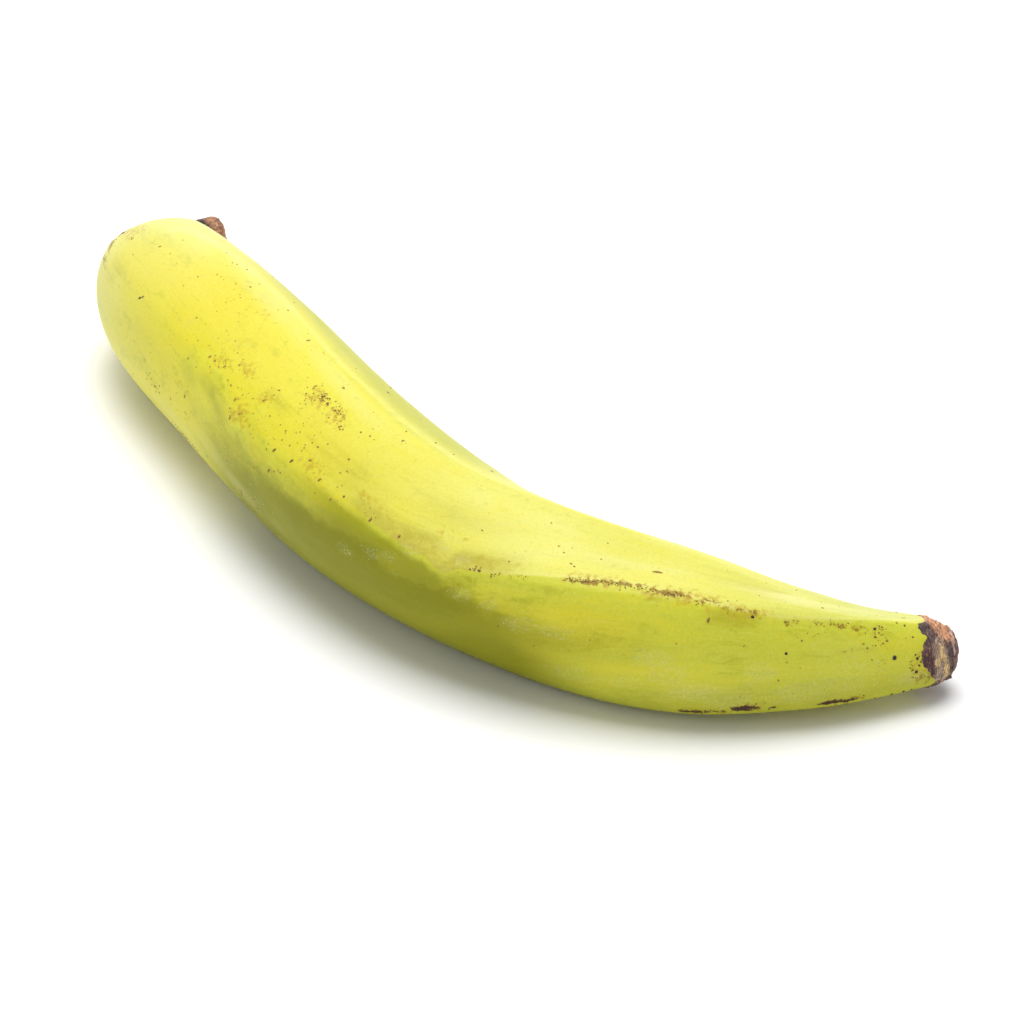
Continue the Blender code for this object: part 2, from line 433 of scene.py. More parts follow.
# marks on the peel:
# (mm from the flower end, degrees below ridge one, half length mm, half breadth mm, strength)
marks = {
    "warm": (
        (112, 40, 22, 13, 0.8), (90, 28, 18, 9, 0.7), (128, 60, 20, 10, 0.6), (250, -30, 30, 14, 0.8),
        (215, -35, 26, 10, 0.7), (170, -30, 26, 9, 0.6), (140, -35, 22, 9, 0.6), (278, -10, 20, 9, 0.7),
        (232, 30, 22, 8, 0.5), (76, 62, 14, 6, 0.4), (70, -25, 20, 5, 0.6), (205, -12, 10, 5, 0.6),
    ),
    # deep: more deep green on the belly, partly painted shade
    "deep": (
        (152, 20, 14, 6, 0.5), (130, 24, 12, 5, 0.4), (105, 72, 16, 8, 0.5), (84, 42, 12, 5, 0.35),
        (196, 55, 18, 8, 0.4), (78, 44, 7, 3, 0.3),
    ),
    # pale: pale peel, but the long strips at -62 degrees are a painted highlight along the top ridge, and
    # those at 40 to 44 degrees from 180 to 212 mm are painted reflected light at the low edge
    "pale": (
        (212, 40, 12, 4, 0.5), (196, 44, 12, 4, 0.5), (180, 42, 8, 3, 0.35), (300, -6, 10, 12, 0.6),
        (290, 20, 14, 8, 0.6), (60, 78, 16, 5, 0.4), (36, 82, 14, 5, 0.4), (30, 30, 12, 4, 0.3),
        (240, 62, 24, 8, 0.6), (44, -28, 22, 2, 0.9), (80, -30, 20, 2, 0.6), (13, 80, 5, 2.6, 0.6),
        (236, -62, 40, 4.5, 0.6), (180, -62, 34, 3.5, 0.6), (276, -50, 16, 5, 0.5),
    ),
    "scar": (
        (90, -7, 3, 0.5, 0.46), (85, -8, 3, 0.5, 0.42), (72, -5, 3.2, 0.5, 0.42), (63, 100, 3.4, 0.6, 0.9),
        (57, 98, 3, 0.6, 0.75), (51, 96, 2.5, 1.2, 1.1), (45, 97, 1.2, 0.5, 0.8), (32, 98, 3, 0.7, 1),
        (28, 99, 2.6, 0.6, 0.9), (24, 101, 1.6, 0.5, 0.6), (150, 163, 14, 1, 0.9), (118, 166, 8, 0.8, 0.8),
        (206, 226, 12, 1, 0.9), (180, 224, 5, 0.7, 0.7), (96, 226, 9, 0.8, 0.8), (262, 168, 7, 0.8, 0.7),
        (70, 288, 6, 0.6, 0.6), (15, -92, 7, 0.7, 0.9),
    ),
    "rust": (
        (90, -6, 5, 1.3, 0.85), (82, -8, 6, 1.3, 0.8), (72, -5, 7, 1.4, 0.8), (63, -1, 4, 1.2, 0.7),
        (55, 2, 6, 1.1, 0.55), (44, 8, 2.5, 1.2, 0.65), (38, 6, 2.5, 1.1, 0.55), (32, 6, 2.4, 1.2, 0.65),
        (27, 9, 3, 1.2, 0.6), (22, 14, 2.4, 1.2, 0.6), (60, 99, 8, 1.8, 0.7), (50, 95, 5, 2.4, 0.7),
        (29, 98, 6, 1.7, 0.65), (304, 0, 4, 1.6, 0.8), (306, -10, 2.4, 1.4, 0.8), (299, 10, 5, 1.2, 0.7),
        (259, 34, 1.6, 1.4, 0.6), (238, 66, 8, 1, 0.66), (228, 70, 6, 1, 0.6), (182, -48, 2.4, 1.4, 0.72),
        (175, -48, 3, 1.6, 0.62), (172, -50, 3, 1.2, 0.6), (193, -2, 2, 1, 0.55), (148, 163, 20, 2.2, 0.7),
        (204, 226, 18, 2.2, 0.7), (96, 226, 12, 1.8, 0.6), (262, 168, 10, 2, 0.6), (9, 86, 3, 2.4, 0.6),
        (14, -20, 3, 1.4, 0.5),
    ),
    "ochre": (
        (249, -56, 2, 1.2, 0.4), (243, -40, 2, 1.4, 0.35), (230, -50, 3, 2, 0.5), (218, -14, 5, 3, 0.45),
        (222, -8, 4, 2, 0.5), (210, -22, 5, 2.4, 0.6), (200, -2, 6, 3.4, 0.6), (196, -20, 4, 2.4, 0.6),
        (183, -46, 5, 3.4, 0.65), (174, -46, 5, 3.4, 0.6), (168, -14, 5, 3, 0.5), (148, -20, 6, 1.6, 0.4),
        (124, -20, 6, 1.4, 0.35), (88, -8, 9, 2.2, 0.65), (70, -4, 10, 2.2, 0.75), (54, 3, 9, 1.8, 0.6),
        (28, 10, 9, 2, 0.35), (11, 60, 3, 4, 0.6), (302, -20, 6, 4, 0.6),
    ),
    "olive": (
        (230, 12, 7, 2.6, 0.55), (218, 5, 9, 4, 0.6), (209, 9, 8, 4, 0.6), (192, -4, 9, 3, 0.5),
        (192, -24, 8, 3, 0.4), (244, 20, 10, 4, 0.35), (200, 18, 12, 5, 0.45), (57, 8, 7, 2.4, 0.85),
        (146, -11, 10, 2.4, 0.6), (132, -14, 8, 2, 0.5), (186, 6, 10, 3.4, 0.6), (114, -9, 5, 2.2, 0.5),
        (252, 44, 3, 2, 0.5), (30, 95, 14, 4, 0.35), (160, -8, 10, 2, 0.4), (52, -18, 14, 1.6, 0.35),
        (158, -27, 18, 7, 0.45), (122, -34, 16, 6, 0.4), (51, -31, 16, 5, 0.45), (172, -2, 14, 6, 0.4),
        (290, 6, 6, 8, 0.4), (262, 14, 12, 6, 0.35),
    ),
    "haze": (
        (149, 17, 3, 2, 0.9), (141, 9, 3, 1.6, 0.9), (136, 6, 3, 1.6, 0.7), (116, 16, 3, 2, 0.8),
        (109, 19, 3, 2, 0.8), (102, 30, 5, 2.6, 0.8), (94, 33, 5, 2.6, 0.75), (72, 47, 5, 3, 0.9),
        (68, 60, 5, 3.6, 0.9), (63, 75, 6, 3.4, 0.9), (49, 57, 4, 3.4, 0.95), (54, 88, 8, 3.4, 0.7),
        (124, -11, 2, 1.4, 0.9), (118, -6, 2, 1.6, 1), (131, -3, 3, 1.6, 0.8), (78, 70, 6, 3, 0.6),
        (202, 30, 8, 5, 0.6), (186, 36, 8, 3, 0.6), (107, -22, 2.2, 1.2, 0.6), (28, 62, 12, 7, 0.6),
        (40, 80, 9, 4, 0.7), (244, -10, 5, 3, 0.5), (262, 30, 12, 6, 0.5), (90, 70, 8, 4, 0.6),
    ),
}


# where the pale top ends and the green front begins: (mm, degrees below ridge one)
tideLine = (
    (0, -14), (14, -8), (24, -2), (34, 3), (44, 6), (54, 4), (62, 1), (67, -4), (74, -6), (83, -8),
    (92, -7), (103, -4), (108, -2), (113, -1), (118, 0), (121, 5), (124, 2), (127, -2), (131, -3),
    (136, -5), (141, -8), (146, -10), (156, -12), (344, -12),
)


def paintMarks(mesh):
    along, below, half = (readValues(mesh, name) for name in ("along", "below", "half"))
    edge = np.interp(along, *np.array(tideLine, float).T)
    addValues(mesh, "pastEdge", (below - edge) * rad * half)
    for kind, spots in marks.items():
        field = np.zeros(len(along))
        for place, turn, halfLength, halfBreadth, strength in spots:
            across = ((below - turn + 180) % 360 - 180) * rad * half
            reach = ((along - place) / halfLength) ** 2 + (across / halfBreadth) ** 2
            field = np.maximum(field, strength * np.exp(-0.7 * reach ** 1.4))
        addValues(mesh, kind, field)


peelLook = {
    "lemon": (0.74, 0.68, 0.042),
    "gold": (0.76, 0.62, 0.020),
    "green": (0.62, 0.635, 0.055),
    # deep green, partly the peel's own colour and partly painted shade
    "deepGreen": (0.25, 0.25, 0.0),
    # cream, also used for a painted highlight and painted reflected light
    "cream": (0.78, 0.75, 0.24),
    "olive": (0.46, 0.42, 0.020),
    "ochre": (0.54, 0.37, 0.018),
    "rust": (0.31, 0.185, 0.020),
    "scar": (0.085, 0.045, 0.028),
    "haze": (0.74, 0.76, 0.46),
    "neck": (0.41, 0.43, 0.15),
    "tan": (0.56, 0.38, 0.23),
    "smear": (0.54, 0.47, 0.060),
    # pale yellow of the top facet, partly a painted sheen
    "pallid": (0.77, 0.745, 0.17),
    "dull": (0.47, 0.48, 0.022),
    "leafy": (0.56, 0.60, 0.11),
    "pore": (0.86, 0.84, 0.28),
    "roughness": 0.46,
    "specular": 0.13,
    "coat": 0.25,
    "coatRoughness": 0.24,
    "subsurface": 0.12,
    "subsurfaceTint": (1.0, 0.85, 0.25),
    "subsurfaceDepth": 0.003,
    "meanRadius": 20,       # mm, for patterns wound round the fruit
}


def peelMaterial():
    look = peelLook
    material, shader, graph = newMaterial("plantainPeel")
    paint = Paint(graph, look, "lemon")
    ease = graph.ease
    chart = graph.split(graph.node("ShaderNodeUVMap", {"uv_map": "peel"}))
    along = chart["X"] * fruit["length"]
    below = chart["Y"] * 360 + fruit["seam"]
    unrolled = graph.wound(along, below, look["meanRadius"])
    solid = graph.onPiece()
    painted = {kind: graph.attribute(kind) for kind in marks}

    def spread(stretch, scale, detail=3, roughness=0.6, distortion=0):
        # noise drawn out along the fruit, as -0.5 to 0.5
        vector = graph.vector("MULTIPLY", unrolled, (1 / stretch, 1, 1))
        return graph.grain(vector, scale, detail, roughness, distortion) - 0.5

    clouds = spread(2, 0.045)
    patches = spread(2.4, 0.15, 4, 0.6, 0.5)
    mottles = spread(1.6, 0.5, 4, 0.65, 0.6)
    streaks = spread(14, 0.55)
    fibres = spread(22, 2.2, 2)
    crumbs = graph.grain(solid, 700, 4, 0.65) - 0.5
    pores = graph.grain(solid, 1400, 2, 0.6) - 0.5
    grit = graph.grain(solid, 3400, 2, 0.6) - 0.5

    # yellow on the stem half and on the top, greener towards the flower end and underneath
    towardsFlower = ease(along, 168, 138)
    towardsStem = ease(along, 205, 250)
    notUnder = ease(below, 150, 110)
    pastEdge = graph.attribute("pastEdge") + crumbs * 1.2 + mottles * 0.9
    blurred = ease(along, 62, 36)
    crisp = ease(pastEdge, blurred * -1.8 - 0.5, blurred + 0.2)
    soft = ease(below + patches * 30, -16, 18)
    front = (crisp * towardsFlower + soft * (1 - towardsFlower)) * notUnder
    greenness = 0.12 + front * 0.7 * (1 - towardsStem * 0.8) + clouds * 1.8 + patches * 1.3
    greenness = greenness + streaks * 0.8 + ease(along, 190, 90) * 0.12 - painted["warm"] * 0.55
    paint.lay("green", ease(greenness, 0, 1))
    paint.lay("gold", ease(painted["warm"] + patches * 0.9 + clouds * 0.7, 0.25, 0.95) * 0.55)
    # the top facet is paler: partly pale peel, partly a painted sheen
    topFacet = ease(along, 190, 110) * (1 - front) * notUnder
    paint.lay("pallid", topFacet * (0.65 + patches))
    paint.lay("leafy", topFacet * ease(along, 75, 20) * (0.7 + streaks * 1.2))
    dulled = ease(patches * 0.8 + mottles * 0.7 + streaks * 0.35, 0.02, 0.26)
    paint.lay("dull", dulled * (0.42 + front * 0.2) * (1 - topFacet * 0.7))
    golden = ease(clouds * 0.8 - patches * 0.9 + mottles * 0.5, 0.04, 0.26)
    paint.lay("gold", golden * 0.32 * (1 - topFacet * 0.6))

    # deep green low on the stem half and along the tide line, partly the peel's own green and partly painted
    # shade, paler towards the neck
    middle = graph.math("MAXIMUM", (150 - along) * 0.52, (along - 150) * 0.35) - 2
    shade = ease(below - middle + patches * 26 + mottles * 14, -13, 12) * ease(along, 80, 112)
    shade = shade * ease(along, 232, 186) * ease(below, 150, 115) * front
    nearTide = ease(pastEdge + patches * 3, 0, 2.6) * ease(pastEdge, 22, 6)
    nearTide = nearTide * ease(along + mottles * 16, 110, 124) * ease(along, 178, 150)
    shade = graph.math("MAXIMUM", shade * 0.92, nearTide * 0.72) + painted["deep"] * (0.5 + patches)
    paint.lay("deepGreen", shade)
    # the pale marks in cream: pale peel, with a painted highlight along the top ridge and painted reflected
    # light at the low edge of the stem half
    paint.lay("cream", ease(painted["pale"] + patches * 0.5, 0.15, 0.95) * 0.6)
    paint.lay("cream", ease(along, 235, 308) * 0.55)
    paint.lay("neck", ease(along, 308, 332) * (0.8 + streaks))
    paint.lay("tan", ease(along + streaks * 30, 328, 340) * 0.8)
    paint.lay("olive", ease(mottles * 1.2 + crumbs * 0.6 + patches * 0.6, 0.16, 0.44) * 0.34)
    # a duller strip past the top ridge: partly the peel's own tone, partly painted shade on the side turned
    # from the light
    outer = ease(below, -66, -92) * ease(along, 110, 150) * ease(along, 290, 240)
    paint.lay("dull", outer * 0.8)
    # painted shade: the low front of the flower half made darker and greener
    lower = ease(below + patches * 20, 50, 95) * ease(below, 150, 120) * towardsFlower
    paint.lay("deepGreen", lower * 0.4)

    # stains, the dull smear above the tide line, freckles and rubbed places
    stained = painted["olive"] + patches * 0.5 + streaks * 0.3 + crumbs * 0.2
    paint.lay("olive", ease(stained, 0.15, 0.95) * 0.7)
    smeared = ease(pastEdge + patches * 4, -7.5, -3) * ease(pastEdge, 0.1, -0.2)
    smeared = smeared * ease(along + mottles * 12, 100, 116) * ease(along, 158, 138)
    paint.lay("smear", smeared * (0.7 + mottles * 1.6 + patches))
    paint.lay("cream", ease(abs(pastEdge + 0.7), 0.8, 0.1) * ease(along, 118, 100) * 0.35)
    freckled = ease(painted["ochre"] * 0.62 + 0.13 + crumbs * 1.5 + mottles * 0.4, 0.34, 0.6)
    paint.lay("ochre", freckled * 0.66)
    rubbed = painted["haze"] + mottles * 0.5
    scuffed = ease(rubbed + crumbs * 1.3, 0.35, 0.75) * ease(pores + crumbs * 0.6, 0.02, 0.12)
    paint.lay("haze", scuffed * 0.07)
    threads = ease(abs(spread(3, 0.9, 3, 0.7, 2.5)), 0.03, 0.004)
    paint.lay("haze", threads * ease(rubbed, 0.3, 0.9) * 0.3)

    # the peel's own grain: light pores, dark pores and fibres
    bright = 1 - shade * 0.8
    fine = pores + grit * 0.5
    paint.lay("pore", ease(fine, 0.05, 0.2) * bright * 0.15)
    paint.lay("olive", ease(fine, -0.05, -0.22) * 0.2)
    paint.lay("cream", ease(fibres, 0.08, 0.24) * bright * 0.14)
    paint.lay("olive", ease(fibres, -0.08, -0.24) * 0.16)
    rusty = ease(painted["rust"] + crumbs * 2.2, 0.5, 0.85)
    paint.lay("rust", rusty * 0.85)
    scarred = ease(painted["scar"] + crumbs * 1.8 + fibres * 0.4, 0.48, 0.7)
    paint.lay("scar", scarred)

    waxed = ease(below, 20, -30, 0.2, 1) * (1 - scarred) * (1 - outer * 0.7) * (1 + patches * 0.8)
    height = pores * 0.35 + crumbs * 0.5 + streaks * 0.8 + fibres * 0.5 + scarred * crumbs * 2.5
    graph.plug(shader, {
        "Base Color": paint.color,
        "Roughness": look["roughness"] + crumbs * 0.12 + scarred * 0.35 + rusty * 0.2 + painted["haze"] * 0.1,
        "Coat Weight": look["coat"] * waxed,
        "Coat Roughness": look["coatRoughness"],
        "Specular IOR Level": look["specular"],
        "Subsurface Weight": look["subsurface"],
        "Subsurface Radius": look["subsurfaceTint"],
        "Subsurface Scale": look["subsurfaceDepth"],
        "Normal": graph.bump(0.35, 0.12, height),
    })
    return material


bodyMesh = growMesh("plantainBody", spineMesh(), fruitTree(), {
    "Rings": fruit["rings"], "Points round": fruit["pointsRound"], "Length": fruit["length"],
    "Seam": fruit["seam"], "Plane normal": tuple(line.normal), "Ridge power": fruit["ridgePower"],
    "Ridge mean": fruit["ridgeMean"], "Dent depth": fruit["dentDepth"], "Ripple depth": fruit["rippleDepth"],
    "Pucker depth": fruit["puckerDepth"], "Skin": peelMaterial(),
    **{f"Ridge gap {k + 1}": gap for k, gap in enumerate(fruit["ridgeGaps"])}})
paintMarks(bodyMesh)
lowest = getPoints(bodyMesh)[:, 2].min()
laid = np.array([*fruit["laidAt"], -lowest / mm - fruit["pressed"]]) * mm
settle(bodyMesh, laid)
closeMesh(bodyMesh)
body = addObject("plantainBody", bodyMesh)
print("fruit body:", len(bodyMesh.vertices), "points")


# specks, as low domes set on the peel
specks = {
    # black spots: (mm from the flower end, degrees below ridge one, half size mm)
    "spots": (
        (52.5, 6, 0.5), (44, 36, 0.45), (18, 46, 0.7), (12, 51, 0.45), (12, 72, 0.55), (12.5, 45, 0.3),
        (11, 57, 0.3), (11.5, 62, 0.3), (13, 68, 0.25), (23, 8.5, 0.45), (21, 106, 0.4), (17, 104, 0.4),
        (14, 104, 0.45), (12, 104, 0.35),
    ),
    # brown flecks: (mm, degrees, half length mm, tone, turned by)
    "flecks": (
        (21, 6, 0.3, 0.3, 0), (23, 18, 0.45, 0.3, 0), (20, 23, 0.45, 0.4, 0), (21, 26, 0.35, 0.5, 0),
        (26, 26, 0.4, 0.6, 0), (25, 31, 0.4, 0.6, 0), (13, 19, 0.35, 0.3, 0), (22, 13, 0.35, 0.4, 0),
        (62, 12, 0.8, 0.4, 80), (76, -26, 1.5, 0.4, 15), (94, -17, 0.35, 0.5, 0), (95, -19, 0.4, 0.5, 0),
        (98, -28, 0.3, 0.6, 0), (100, -33, 0.3, 0.6, 0), (108, -12, 0.3, 0.6, 0), (118, -30, 0.3, 0.5, 0),
        (132, -92, 0.5, 0.3, 0), (135, -8, 0.55, 0.35, 60), (144, -9, 0.65, 0.35, 60),
        (153, -63, 0.5, 0.4, 80), (157, -6, 0.5, 0.5, 50), (160, -32, 0.5, 0.6, 0),
        (161, -52, 0.4, 0.6, 0), (163, -11, 0.7, 0.45, 60), (164, -50, 0.4, 0.6, 0),
        (169, -16, 0.65, 0.55, 20), (170, -25, 0.5, 0.6, 0), (170, -44, 0.55, 0.6, 40),
        (174, -8, 0.8, 0.35, 60), (180, 7, 0.7, 0.35, 70), (180, -92, 0.65, 0.25, 0),
        (181, -5, 0.8, 0.35, 60), (182, -62, 0.65, 0.55, 0), (188, -49, 0.7, 0.6, 80),
        (188, 60, 0.65, 0.5, 70), (188, -105, 0.55, 0.3, 0), (195, -30, 0.55, 0.65, 20),
        (196, -19, 0.65, 0.6, 60), (196, 48, 0.9, 0.45, 80), (200, -2, 0.55, 0.6, 40),
        (203, 5, 0.7, 0.45, 60), (205, -5, 0.65, 0.6, 70), (210, -64, 0.7, 0.45, 85),
        (214, -19, 0.55, 0.65, 10), (218, -11, 0.65, 0.6, 60), (223, -8, 0.65, 0.65, 20),
        (226, -7, 0.7, 0.6, 50), (229, -66, 0.4, 0.4, 0), (230, 26, 0.7, 0.6, 80), (234, 5, 0.5, 0.7, 60),
        (240, 40, 0.5, 0.7, 0), (244, -15, 0.5, 0.65, 40), (246, -56, 0.5, 0.55, 0),
        (252, 45, 0.75, 0.5, 30), (258, -45, 0.3, 0.7, 0), (262, -60, 0.3, 0.6, 0), (270, 1, 0.5, 0.3, 70),
        (271, 3, 0.8, 0.25, 40), (284, -30, 0.55, 0.6, 60), (288, -12, 0.3, 0.6, 0),
    ),
    # freckles: (mm, degrees, half length mm, half breadth mm, how many, middle size mm, tone)
    "freckles": (
        (182, -48, 3, 1.6, 26, 0.34, 0.3), (175, -49, 4, 2, 24, 0.28, 0.4),
        (171, -43, 3, 1.6, 12, 0.26, 0.45), (186, -44, 7, 5, 22, 0.26, 0.6),
        (91, -6, 3.6, 0.8, 40, 0.26, 0.3), (85, -7, 4, 0.8, 34, 0.26, 0.35),
        (78, -7, 3, 0.8, 18, 0.22, 0.4), (71, -4, 4, 0.9, 36, 0.26, 0.35), (64, 0, 4, 0.8, 18, 0.22, 0.45),
        (55, 3, 5, 1, 16, 0.2, 0.5), (114, -3, 1.5, 0.9, 14, 0.26, 0.3), (110, -1, 1.6, 0.6, 9, 0.22, 0.4),
        (105, -3, 4, 0.6, 10, 0.2, 0.55), (44, 8, 2, 0.9, 9, 0.22, 0.45), (38, 7, 2, 0.9, 8, 0.2, 0.5),
        (32, 7, 2.2, 0.9, 10, 0.22, 0.4), (27, 9, 2.4, 0.9, 9, 0.22, 0.45), (21, 8, 3, 1, 9, 0.22, 0.4),
        (38, 16, 3, 1.6, 9, 0.2, 0.6), (22, 20, 5, 3, 12, 0.22, 0.45), (60, 99, 6, 0.9, 24, 0.26, 0.15),
        (51, 96, 4, 1.4, 26, 0.3, 0.12), (29, 98, 4, 1.2, 28, 0.28, 0.12),
        (13, 60, 2, 4.5, 16, 0.22, 0.15), (10, 80, 3, 3, 14, 0.2, 0.35), (146, -14, 6, 2, 14, 0.2, 0.55),
        (196, -8, 16, 7, 36, 0.26, 0.6), (222, -14, 14, 8, 34, 0.26, 0.65),
        (176, -22, 16, 8, 30, 0.26, 0.55), (244, -45, 14, 8, 18, 0.26, 0.65),
        (304, 0, 4, 2, 26, 0.26, 0.4), (306, -11, 1.6, 1.6, 16, 0.26, 0.2),
        (299, 9, 4, 1.6, 16, 0.24, 0.45), (297, -17, 1.4, 1.2, 6, 0.3, 0.45),
        (238, 66, 7, 1, 22, 0.26, 0.3), (254, 44, 8, 3, 12, 0.26, 0.5), (230, 40, 12, 6, 12, 0.24, 0.6),
        (196, 46, 12, 4, 12, 0.26, 0.45), (120, 20, 14, 5, 10, 0.18, 0.5),
        (150, 164, 16, 1.2, 50, 0.3, 0.15), (205, 226, 14, 1.2, 44, 0.3, 0.15),
    ),
    # strewn over a stretch: (first mm, last mm, first degree, last degree, how many, tone)
    "strewn": ((20, 320, -165, 195, 190, 0.55), (12, 60, -60, 120, 40, 0.4), (150, 280, -70, 40, 90, 0.65)),
    "seed": 11,
    "spotTone": 0.05,       # 0 is black, 1 is ochre, 2 is pale
    "flakeSize": 0.32,      # mm, pale flakes on the scuffed places
    "flakeBreadth": 0.09,
    "flakeTone": 2,
    "mostFlakes": 24,
    "height": 0.12,         # mm, and a little more on broad specks
    "sunk": 0.1,
}


def speckMesh():
    # points with a place on the peel's chart, a size and a tone
    random = np.random.default_rng(specks["seed"])
    rows = [[place, turn, size, 0.9 * size, specks["spotTone"], 0] for place, turn, size in specks["spots"]]
    for place, turn, length, tone, spin in specks["flecks"]:
        rows.append([place, turn, length, min(0.16 + 0.3 * length, 0.4), tone, spin])

    def scatter(place, turn, halfLength, halfBreadth, count, size, tone, breadth=None):
        half = smoothCurve(fruit["halfWidths"], np.array([place]))[0]
        for x, y in random.normal(0, 0.5, (count, 2)):
            length = size * random.uniform(0.4, 1.3)
            rows.append([place + x * halfLength, turn + np.degrees(y * halfBreadth / half), length,
                         breadth or length * random.uniform(0.5, 1), tone + random.uniform(-0.15, 0.15),
                         random.uniform(0, 180)])

    for freckled in specks["freckles"]:
        scatter(*freckled)
    for place, turn, halfLength, halfBreadth, strength in marks["haze"]:
        count = round(strength * min(specks["mostFlakes"], 3 + halfLength * halfBreadth))
        scatter(place, turn, halfLength, halfBreadth, count, specks["flakeSize"], specks["flakeTone"],
                specks["flakeBreadth"])
    for first, last, low, high, count, tone in specks["strewn"]:
        for _ in range(count):
            length = 0.12 + 0.3 * random.random() ** 2.5
            rows.append([random.uniform(first, last), random.uniform(low, high), length,
                         length * random.uniform(0.45, 1), tone + random.uniform(-0.3, 0.3),
                         random.uniform(0, 180)])
    place, turn, length, breadth, tone, spin = np.array(rows, float).T
    height = specks["height"] * (1 + breadth)
    share = ((turn - fruit["seam"]) / 360) % 1
    mesh = bpy.data.meshes.new("speckPoints")
    mesh.from_pydata(np.zeros((len(rows), 3)).tolist(), [], [])
    addValues(mesh, "spot", np.stack([place / fruit["length"], share, 0 * share], 1), "FLOAT_VECTOR")
    addValues(mesh, "size", np.stack([length, breadth, height], 1) * mm, "FLOAT_VECTOR")
    addValues(mesh, "ahead", line.at(place)[1], "FLOAT_VECTOR")
    addValues(mesh, "tone", tone)
    addValues(mesh, "spin", np.radians(spin))
    return mesh


def domeMesh(material):
    # a low dome, bent a little like a bean
    turns = np.arange(8) * pi / 4
    rows = []
    for reach, height in ((0.7, -0.9), (1, -0.3), (0.75, 0.55)):
        x, y = reach * np.cos(turns), reach * np.sin(turns)
        rows.append(np.stack([x, y + 0.35 * x * x, np.full(8, height)], 1))
    return gridMesh("speckDome", rows, material)


def speckTree():
    graph = newTree("specksOnPeel")
    spots, peelObject, domeObject, sink, skin = graph.inputs({
        "Spots": "Geometry", "Peel": "Object", "Dome": "Object", "Sunk share": "Float", "Skin": "Material"})
    peelShape, domeShape = (
        graph.node("GeometryNodeObjectInfo", {}, {"Object": thing}, output="Geometry")
        for thing in (peelObject, domeObject))

    def onPeel(value):
        return graph.node("GeometryNodeSampleUVSurface", {"data_type": "FLOAT_VECTOR"}, {
            "Mesh": peelShape, "Value": value, "UV Map": graph.named("peel", "FLOAT_VECTOR"),
            "Sample UV": graph.named("spot", "FLOAT_VECTOR")})

    place = onPeel(graph.node("GeometryNodeInputPosition"))
    normal = onPeel(graph.node("GeometryNodeInputNormal"))
    size = graph.named("size", "FLOAT_VECTOR")
    seat = graph.vector("ADD", place, graph.scaled(normal, graph.split(size)["Z"] * sink))
    turned = graph.node("FunctionNodeAlignRotationToVector", {"axis": "Z"}, {"Vector": normal})
    turned = graph.node("FunctionNodeAlignRotationToVector", {"axis": "X", "pivot_axis": "Z"}, {
        "Rotation": turned, "Vector": graph.named("ahead", "FLOAT_VECTOR")})
    spin = graph.node("FunctionNodeAxisAngleToRotation", {}, {
        "Axis": (0, 0, 1), "Angle": graph.named("spin")})
    turned = graph.node("FunctionNodeRotateRotation", {"rotation_space": "LOCAL"}, {
        "Rotation": turned, "Rotate By": spin})
    shown = graph.node("GeometryNodeInstanceOnPoints", {}, {
        "Points": graph.placed(spots, seat), "Instance": domeShape, "Rotation": turned, "Scale": size})
    return graph.finish(shown, skin)


speckLook = {
    "black": (0.020, 0.012, 0.010),
    "brown": (0.14, 0.068, 0.018),
    "rust": (0.34, 0.19, 0.018),
    "ochre": (0.52, 0.36, 0.020),
    "pale": (0.66, 0.68, 0.20),
    "roughness": 0.6,
}


def speckMaterial():
    # black to pale by each speck's own tone
    material, shader, graph = newMaterial("peelSpecks")
    paint = Paint(graph, speckLook, "black")
    crumbs = graph.grain(graph.onPiece(), 2600, 2, 0.6) - 0.5
    tone = graph.attribute("tone") + crumbs * 0.4
    for name, low, high in (("brown", 0, 0.25), ("rust", 0.2, 0.5), ("ochre", 0.5, 0.9), ("pale", 1.2, 1.6)):
        paint.lay(name, graph.ease(tone, low, high))
    graph.plug(shader, {"Base Color": paint.color, "Roughness": speckLook["roughness"]})
    return material


speckSkin = speckMaterial()
dome = addObject("speckDome", domeMesh(speckSkin))
specksMesh = growMesh("peelSpecks", speckMesh(), speckTree(), {
    "Peel": body, "Dome": dome, "Sunk share": specks["sunk"], "Skin": speckSkin})
bpy.data.objects.remove(dome)
settle(specksMesh)
specksMesh.shade_smooth()
speckled = addObject("peelSpecks", specksMesh)
print("specks:", len(specksMesh.polygons), "faces")


# the two dried ends are closed caps, which come up through the peel where they stand proud of it
endRadius = 9       # mm, about that of both ends


def ridgeHeight(below):
    starts = np.concatenate([[0], np.cumsum(fruit["ridgeGaps"])])
    wrapped = below % 360
    k = np.clip(np.searchsorted(starts, wrapped, "right") - 1, 0, len(fruit["ridgeGaps"]) - 1)
    share = (wrapped - starts[k]) / np.diff(starts)[k]
    return 1 - np.sin(pi * share) ** fruit["ridgePower"] - fruit["ridgeMean"]


def ringsAt(places, below):
    # centre, direction and spokes of rings at these places, with the radius of the peel in mm;
    # a place past either end stands straight out from that end
    inside = np.clip(places, 0, fruit["length"])
    centre, ahead, side = line.at(inside)
    centre = centre + (places - inside)[:, None] * mm * ahead
    turn = np.radians(smoothCurve(fruit["ridgeTurn"], inside)[:, None] - below)
    spokes = np.cos(turn)[..., None] * side[:, None] + np.sin(turn)[..., None] * line.normal
    rise = smoothCurve(fruit["ridgeRise"], inside)[:, None]
    radius = smoothCurve(fruit["halfWidths"], inside)[:, None] * (1 + rise * ridgeHeight(below))
    return centre, ahead, spokes, radius


def ruffle(points, size, seed, stretch=(1, 1, 1)):
    # soft noise from -1 to 1 with lumps of that size, in mm
    away = Vector((seed, seed, seed))
    return np.array([noise.noise(Vector(point) / size + away) for point in points * stretch])


def lobe(below, turn, breadth):
    # 1 at that turn and 0 away from it, in degrees
    return np.exp(-(((below - turn + 180) % 360 - 180) / breadth) ** 2)


def blob(places, below, place, turn, length, breadth):
    # 1 at a spot on the cap and 0 away from it, in mm and degrees
    return np.exp(-((places - place) / length) ** 2) * lobe(below, turn, breadth)


